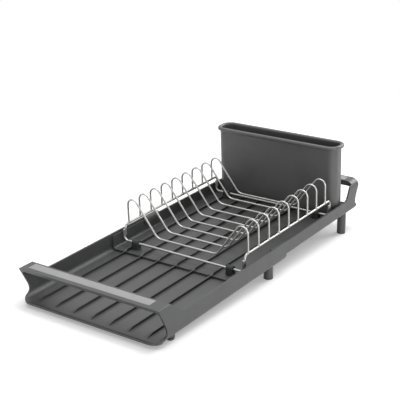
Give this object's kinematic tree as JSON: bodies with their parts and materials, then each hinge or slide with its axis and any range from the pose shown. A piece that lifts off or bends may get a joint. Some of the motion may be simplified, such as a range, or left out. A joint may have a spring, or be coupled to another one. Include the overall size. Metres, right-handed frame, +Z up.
{
  "type": "expandable dish rack",
  "caption": "Expandable dish rack: two nested sloping trays that slide apart, lift-out wire plate rack and cutlery caddy, draining over a front spout.",
  "frame": {"origin": "on the counter, below the middle of the rack as it stands pulled right out", "axes": "+Z up; -Y towards the draining spout; +Y towards the cutlery caddy; +X to the right of someone who faces the spout from outside it, looking along +Y"},
  "size_m": [0.226, 0.5036, 0.1434],
  "materials": {
    "tray_plastic": "charcoal grey moulded plastic with a fine matt grain",
    "caddy_plastic": "charcoal grey moulded plastic, satin",
    "inlay": "light grey soft-touch strip",
    "rubber": "dark grey rubber, matt",
    "wire": "satin stainless wire"
  },
  "bodies": {
    "front": {"front_tray": "tray_plastic", "front_handle_inlay": "inlay", "front_foot_left": "rubber", "front_foot_right": "rubber", "mid_foot_left": "tray_plastic", "mid_foot_right": "tray_plastic", "mid_foot_pad_left": "rubber", "mid_foot_pad_right": "rubber"},
    "rear": {"rear_tray": "tray_plastic", "rear_handle_inlay": "inlay", "rear_leg_left": "tray_plastic", "rear_leg_right": "tray_plastic", "rear_leg_pad_left": "rubber", "rear_leg_pad_right": "rubber"},
    "rack": {"rack_rail_left": "wire", "rack_rail_right": "wire", "rack_front_wire": "wire", "rack_rear_wire": "wire", "plate_divider_1": "wire", "plate_divider_2": "wire", "plate_divider_3": "wire", "plate_divider_4": "wire", "plate_divider_5": "wire", "plate_divider_6": "wire", "plate_divider_7": "wire", "plate_divider_8": "wire", "plate_divider_9": "wire", "rack_foot_front_left": "rubber", "rack_foot_front_right": "rubber", "rack_foot_rear_left": "rubber", "rack_foot_rear_right": "rubber"},
    "caddy": {"cutlery_caddy": "caddy_plastic"}
  },
  "joints": [
    {"name": "tray_slide", "type": "slide", "parent": "front", "child": "rear", "axis": [0, 0.999, 0.0454], "range_m": [-0.15, 0]},
    {"name": "rack_lift", "type": "slide", "parent": "rear", "child": "rack", "axis": [0, -0.0454, 0.999], "range_m": [0, 0.12]},
    {"name": "caddy_lift", "type": "slide", "parent": "rear", "child": "caddy", "axis": [0, -0.0454, 0.999], "range_m": [0, 0.15]}
  ]
}
